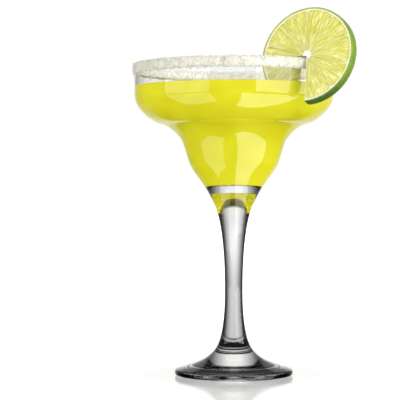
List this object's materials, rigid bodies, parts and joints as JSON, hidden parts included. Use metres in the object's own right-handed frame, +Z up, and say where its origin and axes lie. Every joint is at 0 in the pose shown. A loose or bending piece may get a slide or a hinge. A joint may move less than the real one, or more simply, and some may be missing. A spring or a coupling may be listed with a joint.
{
  "type": "margarita glass",
  "caption": "Stemmed margarita glass with a wide cup over a narrow well, a drawn stem and a round foot, filled, with a salted rim and a lime wheel that lifts off.",
  "frame": {"origin": "middle of the foot's underside, on the axis of the glass, at the level of the ring that it stands on", "axes": "+Z up along the axis of the glass, -Y to the front as pictured, +X to the right, towards the lime wheel"},
  "size_m": [0.1207, 0.1164, 0.2012],
  "materials": {
    "clear_glass": "polished",
    "lime_drink": "gloss",
    "salt": "matte",
    "rind": "satin",
    "pith": "satin",
    "pulp": "gloss"
  },
  "bodies": {
    "glass": {"bowl": "clear_glass", "stem": "clear_glass", "foot": "clear_glass", "drink": "lime_drink", "salt_rim": "salt"},
    "lime_wheel": {"lime_rind": "rind", "lime_pith": "pith", "lime_segment_1": "pulp", "lime_segment_2": "pulp", "lime_segment_3": "pulp", "lime_segment_4": "pulp", "lime_segment_5": "pulp", "lime_segment_6": "pulp", "lime_segment_7": "pulp", "lime_segment_8": "pulp", "lime_segment_9": "pulp", "lime_segment_10": "pulp"}
  },
  "joints": [
    {"name": "lime_lift", "type": "slide", "parent": "glass", "child": "lime_wheel", "axis": [0, 0, 1], "range_m": [0, 0.04]}
  ]
}
